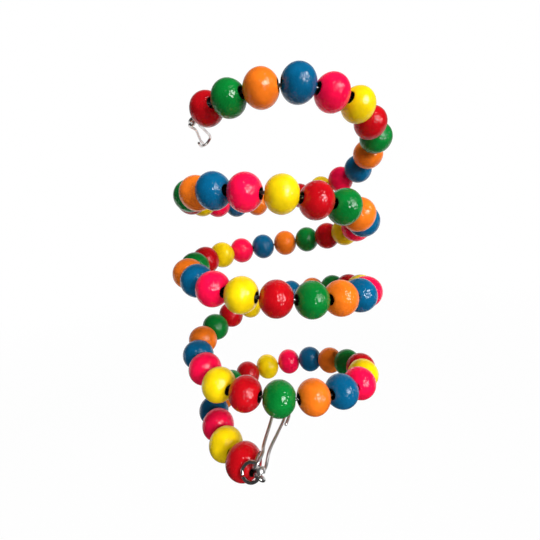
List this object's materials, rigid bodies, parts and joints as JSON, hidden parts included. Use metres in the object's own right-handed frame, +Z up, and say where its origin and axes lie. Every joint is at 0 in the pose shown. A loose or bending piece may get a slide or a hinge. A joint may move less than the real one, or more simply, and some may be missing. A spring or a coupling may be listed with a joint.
{
  "type": "beaded climbing coil",
  "caption": "Springy wire coil strung with painted wooden beads, with a ring and a wire snap clip on each end, hung in a cage for a parrot to climb.",
  "frame": {"origin": "centre of the eye bent at the coil's upper end, which the coil hangs from", "axes": "+Z up along the coil's length, -Y towards the viewer of the picture"},
  "size_m": [0.1391, 0.1458, 0.199],
  "materials": {
    "lacquer_red": "glossy lacquer",
    "lacquer_green": "glossy lacquer",
    "lacquer_orange": "glossy lacquer",
    "lacquer_blue": "glossy lacquer",
    "lacquer_pink": "glossy lacquer",
    "lacquer_yellow": "glossy lacquer",
    "spring_steel": "drawn wire",
    "nickel": "nickel plated"
  },
  "bodies": {
    "run_01": {"coil_wire": "spring_steel", "beads_04_blue_to_06_yellow": "lacquer_pink"},
    "run_02": {"beads_07_red_to_09_orange": "lacquer_green"},
    "run_03": {"beads_16_blue_to_18_yellow": "lacquer_pink"},
    "run_04": {"beads_19_red_to_21_orange": "lacquer_green"},
    "run_05": {"beads_28_blue_to_30_yellow": "lacquer_pink"},
    "run_06": {"beads_31_red_to_33_orange": "lacquer_green"},
    "run_07": {"beads_40_blue_to_42_yellow": "lacquer_pink"},
    "run_08": {"beads_43_red_to_45_orange": "lacquer_green"},
    "run_09": {"beads_52_blue_to_54_yellow": "lacquer_pink"},
    "run_10": {"beads_55_red_to_57_orange": "lacquer_green"},
    "run_11": {"beads_64_blue_to_66_yellow": "lacquer_pink"},
    "run_12": {"beads_67_red_to_69_orange": "lacquer_green"},
    "run_13": {"beads_76_blue_to_78_yellow": "lacquer_pink"},
    "bead_01": {"bead_01_red": "lacquer_red"},
    "bead_02": {"bead_02_green": "lacquer_green"},
    "bead_03": {"bead_03_orange": "lacquer_orange"},
    "bead_10": {"bead_10_blue": "lacquer_blue"},
    "bead_11": {"bead_11_pink": "lacquer_pink"},
    "bead_12": {"bead_12_yellow": "lacquer_yellow"},
    "bead_13": {"bead_13_red": "lacquer_red"},
    "bead_14": {"bead_14_green": "lacquer_green"},
    "bead_15": {"bead_15_orange": "lacquer_orange"},
    "bead_22": {"bead_22_blue": "lacquer_blue"},
    "bead_23": {"bead_23_pink": "lacquer_pink"},
    "bead_24": {"bead_24_yellow": "lacquer_yellow"},
    "bead_25": {"bead_25_red": "lacquer_red"},
    "bead_26": {"bead_26_green": "lacquer_green"},
    "bead_27": {"bead_27_orange": "lacquer_orange"},
    "bead_34": {"bead_34_blue": "lacquer_blue"},
    "bead_35": {"bead_35_pink": "lacquer_pink"},
    "bead_36": {"bead_36_yellow": "lacquer_yellow"},
    "bead_37": {"bead_37_red": "lacquer_red"},
    "bead_38": {"bead_38_green": "lacquer_green"},
    "bead_39": {"bead_39_orange": "lacquer_orange"},
    "bead_46": {"bead_46_blue": "lacquer_blue"},
    "bead_47": {"bead_47_pink": "lacquer_pink"},
    "bead_48": {"bead_48_yellow": "lacquer_yellow"},
    "bead_49": {"bead_49_red": "lacquer_red"},
    "bead_50": {"bead_50_green": "lacquer_green"},
    "bead_51": {"bead_51_orange": "lacquer_orange"},
    "bead_58": {"bead_58_blue": "lacquer_blue"},
    "bead_59": {"bead_59_pink": "lacquer_pink"},
    "bead_60": {"bead_60_yellow": "lacquer_yellow"},
    "bead_61": {"bead_61_red": "lacquer_red"},
    "bead_62": {"bead_62_green": "lacquer_green"},
    "bead_63": {"bead_63_orange": "lacquer_orange"},
    "bead_70": {"bead_70_blue": "lacquer_blue"},
    "bead_71": {"bead_71_pink": "lacquer_pink"},
    "bead_72": {"bead_72_yellow": "lacquer_yellow"},
    "bead_73": {"bead_73_red": "lacquer_red"},
    "bead_74": {"bead_74_green": "lacquer_green"},
    "bead_75": {"bead_75_orange": "lacquer_orange"},
    "bead_79": {"bead_79_red": "lacquer_red"},
    "upper_ring": {"upper_ring": "nickel"},
    "upper_clip": {"upper_clip": "nickel"},
    "upper_gate": {"upper_clip_gate": "nickel"},
    "lower_ring": {"lower_ring": "nickel"},
    "lower_clip": {"lower_clip": "nickel"},
    "lower_gate": {"lower_clip_gate": "nickel"}
  },
  "joints": [
    {"name": "coil_stretch", "type": "hinge", "parent": "run_01", "child": "run_02", "pos_m": [0.09013, -0.00958, -0.00953], "axis": [-0.6126, -0.7443, 0.2658], "range_deg": [-2, 8], "stiffness_Nm_per_rad": 0.76, "springref_deg": -5.49, "deforming": ["coil_wire"]},
    {"name": "twist_03", "type": "hinge", "parent": "run_02", "child": "run_03", "pos_m": [0.06979, 0.076, -0.04015], "axis": [0.9024, -0.3886, 0.1862], "range_deg": [-2, 8], "stiffness_Nm_per_rad": 0.76, "springref_deg": -5.73},
    {"name": "twist_04", "type": "hinge", "parent": "run_03", "child": "run_04", "pos_m": [-0.01263, 0.03252, -0.04372], "axis": [0.1906, 0.981, -0.0352], "range_deg": [-2, 8], "stiffness_Nm_per_rad": 0.76, "springref_deg": -3.94},
    {"name": "twist_05", "type": "hinge", "parent": "run_04", "child": "run_05", "pos_m": [0.04972, -0.0326, -0.05214], "axis": [-0.9609, -0.1844, 0.2066], "range_deg": [-2, 8], "stiffness_Nm_per_rad": 0.76, "springref_deg": -3.66},
    {"name": "twist_06", "type": "hinge", "parent": "run_05", "child": "run_06", "pos_m": [0.08274, 0.04946, -0.07352], "axis": [0.5582, -0.8188, 0.1342], "range_deg": [-2, 8], "stiffness_Nm_per_rad": 0.76, "springref_deg": -3.77},
    {"name": "twist_07", "type": "hinge", "parent": "run_06", "child": "run_07", "pos_m": [-0.00776, 0.0494, -0.0834], "axis": [0.5583, 0.823, 0.1051], "range_deg": [-2, 8], "stiffness_Nm_per_rad": 0.76, "springref_deg": -2.95},
    {"name": "twist_08", "type": "hinge", "parent": "run_07", "child": "run_08", "pos_m": [0.02579, -0.03374, -0.09872], "axis": [-0.9684, 0.2007, 0.1484], "range_deg": [-2, 8], "stiffness_Nm_per_rad": 0.76, "springref_deg": -2.43},
    {"name": "twist_09", "type": "hinge", "parent": "run_08", "child": "run_09", "pos_m": [0.08948, 0.0296, -0.11074], "axis": [0.1988, -0.9746, 0.1031], "range_deg": [-2, 8], "stiffness_Nm_per_rad": 0.76, "springref_deg": -2.44},
    {"name": "twist_10", "type": "hinge", "parent": "run_09", "child": "run_10", "pos_m": [0.00672, 0.06289, -0.12796], "axis": [0.8046, 0.5536, 0.2146], "range_deg": [-2, 8], "stiffness_Nm_per_rad": 0.76, "springref_deg": -1.74},
    {"name": "twist_11", "type": "hinge", "parent": "run_10", "child": "run_11", "pos_m": [0.00709, -0.02639, -0.14793], "axis": [-0.8233, 0.5524, 0.1306], "range_deg": [-2, 8], "stiffness_Nm_per_rad": 0.76, "springref_deg": -1.16},
    {"name": "twist_12", "type": "hinge", "parent": "run_11", "child": "run_12", "pos_m": [0.0871, 0.01055, -0.1608], "axis": [-0.0882, -0.984, 0.1551], "range_deg": [-2, 8], "stiffness_Nm_per_rad": 0.76, "springref_deg": -1.07},
    {"name": "twist_13", "type": "hinge", "parent": "run_12", "child": "run_13", "pos_m": [0.01599, 0.06071, -0.17658], "axis": [0.8771, 0.4746, 0.0744], "range_deg": [-2, 8], "stiffness_Nm_per_rad": 0.76, "springref_deg": -0.46},
    {"name": "ring_upper_swing", "type": "hinge", "parent": "run_01", "child": "upper_ring", "pos_m": [-0.00012, 0.00022, -0.00002], "axis": [0.7291, 0.4333, 0.5297], "range_deg": [-75, 90]},
    {"name": "clip_upper_swing", "type": "hinge", "parent": "upper_ring", "child": "upper_clip", "pos_m": [-0.00271, 0.00805, 0.00012], "axis": [-0.704, -0.4789, -0.5245], "range_deg": [-60, 20]},
    {"name": "gate_upper_open", "type": "hinge", "parent": "upper_clip", "child": "upper_gate", "pos_m": [-0.00521, 0.00635, -0.00174], "axis": [-0.6344, 0.092, 0.7675], "range_deg": [-7, 0], "stiffness_Nm_per_rad": 0.1, "springref_deg": 2.86},
    {"name": "ring_lower_swing", "type": "hinge", "parent": "run_13", "child": "lower_ring", "pos_m": [0.01963, -0.05238, -0.17936], "axis": [-0.526, -0.3744, -0.7637], "range_deg": [-18, 0]},
    {"name": "clip_lower_swing", "type": "hinge", "parent": "lower_ring", "child": "lower_clip", "pos_m": [0.01857, -0.04969, -0.17448], "axis": [0.4718, -0.4416, -0.7632], "range_deg": [-2, 3]},
    {"name": "gate_lower_open", "type": "hinge", "parent": "lower_clip", "child": "lower_gate", "pos_m": [0.02025, -0.05126, -0.17719], "axis": [-0.5445, 0.5349, -0.6461], "range_deg": [-7, 0], "stiffness_Nm_per_rad": 0.1, "springref_deg": 2.86},
    {"name": "spin_bead_01", "type": "hinge", "parent": "run_01", "child": "bead_01", "pos_m": [0.00679, -0.00953, -0.00155], "axis": [0.4963, -0.8678, 0.0267], "continuous": true},
    {"name": "spin_bead_02", "type": "hinge", "parent": "run_01", "child": "bead_02", "pos_m": [0.01881, -0.02248, -0.00084], "axis": [0.8223, -0.5676, 0.0398], "continuous": true},
    {"name": "spin_bead_03", "type": "hinge", "parent": "run_01", "child": "bead_03", "pos_m": [0.03508, -0.02949, -0.00051], "axis": [0.976, -0.2174, -0.0105], "continuous": true},
    {"name": "spin_bead_10", "type": "hinge", "parent": "run_02", "child": "bead_10", "pos_m": [0.0994, 0.04618, -0.02893], "axis": [-0.3552, 0.8833, -0.3059], "continuous": true},
    {"name": "spin_bead_11", "type": "hinge", "parent": "run_02", "child": "bead_11", "pos_m": [0.09057, 0.06071, -0.03404], "axis": [-0.6244, 0.7342, -0.2665], "continuous": true},
    {"name": "spin_bead_12", "type": "hinge", "parent": "run_02", "child": "bead_12", "pos_m": [0.07752, 0.07196, -0.03836], "axis": [-0.8283, 0.5171, -0.2156], "continuous": true},
    {"name": "spin_bead_13", "type": "hinge", "parent": "run_03", "child": "bead_13", "pos_m": [0.06149, 0.07886, -0.04166], "axis": [-0.9557, 0.2508, -0.1543], "continuous": true},
    {"name": "spin_bead_14", "type": "hinge", "parent": "run_03", "child": "bead_14", "pos_m": [0.04397, 0.08075, -0.04385], "axis": [-0.995, -0.0404, -0.0913], "continuous": true},
    {"name": "spin_bead_15", "type": "hinge", "parent": "run_03", "child": "bead_15", "pos_m": [0.02655, 0.07743, -0.04496], "axis": [-0.9437, -0.3291, -0.0347], "continuous": true},
    {"name": "spin_bead_22", "type": "hinge", "parent": "run_04", "child": "bead_22", "pos_m": [0.00813, -0.02286, -0.04504], "axis": [0.7946, -0.5986, -0.1013], "continuous": true},
    {"name": "spin_bead_23", "type": "hinge", "parent": "run_04", "child": "bead_23", "pos_m": [0.02374, -0.03099, -0.04729], "axis": [0.9406, -0.3042, -0.1509], "continuous": true},
    {"name": "spin_bead_24", "type": "hinge", "parent": "run_04", "child": "bead_24", "pos_m": [0.04104, -0.03352, -0.05036], "axis": [0.9813, 0.0218, -0.1912], "continuous": true},
    {"name": "spin_bead_25", "type": "hinge", "parent": "run_05", "child": "bead_25", "pos_m": [0.0581, -0.03025, -0.05403], "axis": [0.9145, 0.3412, -0.2175], "continuous": true},
    {"name": "spin_bead_26", "type": "hinge", "parent": "run_05", "child": "bead_26", "pos_m": [0.07307, -0.0216, -0.05802], "axis": [0.7504, 0.6204, -0.228], "continuous": true},
    {"name": "spin_bead_27", "type": "hinge", "parent": "run_05", "child": "bead_27", "pos_m": [0.08439, -0.00853, -0.06207], "axis": [0.5081, 0.8319, -0.2231], "continuous": true},
    {"name": "spin_bead_34", "type": "hinge", "parent": "run_06", "child": "bead_34", "pos_m": [0.02866, 0.07262, -0.07951], "axis": [-0.984, -0.1606, -0.0771], "continuous": true},
    {"name": "spin_bead_35", "type": "hinge", "parent": "run_06", "child": "bead_35", "pos_m": [0.01188, 0.06699, -0.08092], "axis": [-0.881, -0.4658, -0.0827], "continuous": true},
    {"name": "spin_bead_36", "type": "hinge", "parent": "run_06", "child": "bead_36", "pos_m": [-0.0022, 0.0563, -0.08251], "axis": [-0.6851, -0.7221, -0.096], "continuous": true},
    {"name": "spin_bead_37", "type": "hinge", "parent": "run_07", "child": "bead_37", "pos_m": [-0.01212, 0.04169, -0.08437], "axis": [-0.4167, -0.9019, -0.1137], "continuous": true},
    {"name": "spin_bead_38", "type": "hinge", "parent": "run_07", "child": "bead_38", "pos_m": [-0.01681, 0.02471, -0.08657], "axis": [-0.1049, -0.9857, -0.1319], "continuous": true},
    {"name": "spin_bead_39", "type": "hinge", "parent": "run_07", "child": "bead_39", "pos_m": [-0.0158, 0.00717, -0.08906], "axis": [0.2169, -0.9651, -0.147], "continuous": true},
    {"name": "spin_bead_46", "type": "hinge", "parent": "run_08", "child": "bead_46", "pos_m": [0.08039, -0.01254, -0.10642], "axis": [0.5825, 0.8066, -0.1003], "continuous": true},
    {"name": "spin_bead_47", "type": "hinge", "parent": "run_08", "child": "bead_47", "pos_m": [0.08824, 0.00329, -0.10815], "axis": [0.2897, 0.9524, -0.0949], "continuous": true},
    {"name": "spin_bead_48", "type": "hinge", "parent": "run_08", "child": "bead_48", "pos_m": [0.09052, 0.02081, -0.10985], "axis": [-0.0354, 0.9946, -0.0977], "continuous": true},
    {"name": "spin_bead_49", "type": "hinge", "parent": "run_09", "child": "bead_49", "pos_m": [0.087, 0.0381, -0.11169], "axis": [-0.3566, 0.9279, -0.109], "continuous": true},
    {"name": "spin_bead_50", "type": "hinge", "parent": "run_09", "child": "bead_50", "pos_m": [0.07805, 0.05329, -0.11378], "axis": [-0.6377, 0.7597, -0.1275], "continuous": true},
    {"name": "spin_bead_51", "type": "hinge", "parent": "run_09", "child": "bead_51", "pos_m": [0.06469, 0.06471, -0.11626], "axis": [-0.8471, 0.5097, -0.1505], "continuous": true},
    {"name": "spin_bead_58", "type": "hinge", "parent": "run_10", "child": "bead_58", "pos_m": [-0.01597, 0.00967, -0.14093], "axis": [0.1574, -0.9701, -0.185], "continuous": true},
    {"name": "spin_bead_59", "type": "hinge", "parent": "run_10", "child": "bead_59", "pos_m": [-0.01042, -0.00691, -0.14403], "axis": [0.4607, -0.8725, -0.1629], "continuous": true},
    {"name": "spin_bead_60", "type": "hinge", "parent": "run_10", "child": "bead_60", "pos_m": [0.00019, -0.02088, -0.14673], "axis": [0.7198, -0.6799, -0.1401], "continuous": true},
    {"name": "spin_bead_61", "type": "hinge", "parent": "run_11", "child": "bead_61", "pos_m": [0.01481, -0.03068, -0.14905], "axis": [0.9046, -0.4089, -0.1207], "continuous": true},
    {"name": "spin_bead_62", "type": "hinge", "parent": "run_11", "child": "bead_62", "pos_m": [0.03186, -0.03515, -0.15108], "axis": [0.9903, -0.0867, -0.1084], "continuous": true},
    {"name": "spin_bead_63", "type": "hinge", "parent": "run_11", "child": "bead_63", "pos_m": [0.04944, -0.03368, -0.15297], "axis": [0.9622, 0.2509, -0.1055], "continuous": true},
    {"name": "spin_bead_70", "type": "hinge", "parent": "run_12", "child": "bead_70", "pos_m": [0.05853, 0.06094, -0.17116], "axis": [-0.8843, 0.4398, -0.1566], "continuous": true},
    {"name": "spin_bead_71", "type": "hinge", "parent": "run_12", "child": "bead_71", "pos_m": [0.04169, 0.06584, -0.17377], "axis": [-0.9863, 0.0973, -0.1331], "continuous": true},
    {"name": "spin_bead_72", "type": "hinge", "parent": "run_12", "child": "bead_72", "pos_m": [0.02418, 0.06413, -0.17582], "axis": [-0.9522, -0.2902, -0.0954], "continuous": true},
    {"name": "spin_bead_73", "type": "hinge", "parent": "run_13", "child": "bead_73", "pos_m": [0.00864, 0.05572, -0.17714], "axis": [-0.768, -0.6383, -0.0528], "continuous": true},
    {"name": "spin_bead_74", "type": "hinge", "parent": "run_13", "child": "bead_74", "pos_m": [-0.00264, 0.04206, -0.17776], "axis": [-0.4881, -0.8726, -0.0191], "continuous": true},
    {"name": "spin_bead_75", "type": "hinge", "parent": "run_13", "child": "bead_75", "pos_m": [-0.00866, 0.02536, -0.17792], "axis": [-0.189, -0.982, -0.0025], "continuous": true},
    {"name": "spin_bead_79", "type": "hinge", "parent": "run_13", "child": "bead_79", "pos_m": [0.01172, -0.04048, -0.17976], "axis": [0.6515, -0.7546, -0.0787], "continuous": true}
  ],
  "couplings": [
    {"joint": "twist_03", "follows": "coil_stretch", "ratio": 1},
    {"joint": "twist_04", "follows": "coil_stretch", "ratio": 1},
    {"joint": "twist_05", "follows": "coil_stretch", "ratio": 1},
    {"joint": "twist_06", "follows": "coil_stretch", "ratio": 1},
    {"joint": "twist_07", "follows": "coil_stretch", "ratio": 1},
    {"joint": "twist_08", "follows": "coil_stretch", "ratio": 1},
    {"joint": "twist_09", "follows": "coil_stretch", "ratio": 1},
    {"joint": "twist_10", "follows": "coil_stretch", "ratio": 1},
    {"joint": "twist_11", "follows": "coil_stretch", "ratio": 1},
    {"joint": "twist_12", "follows": "coil_stretch", "ratio": 1},
    {"joint": "twist_13", "follows": "coil_stretch", "ratio": 1}
  ]
}
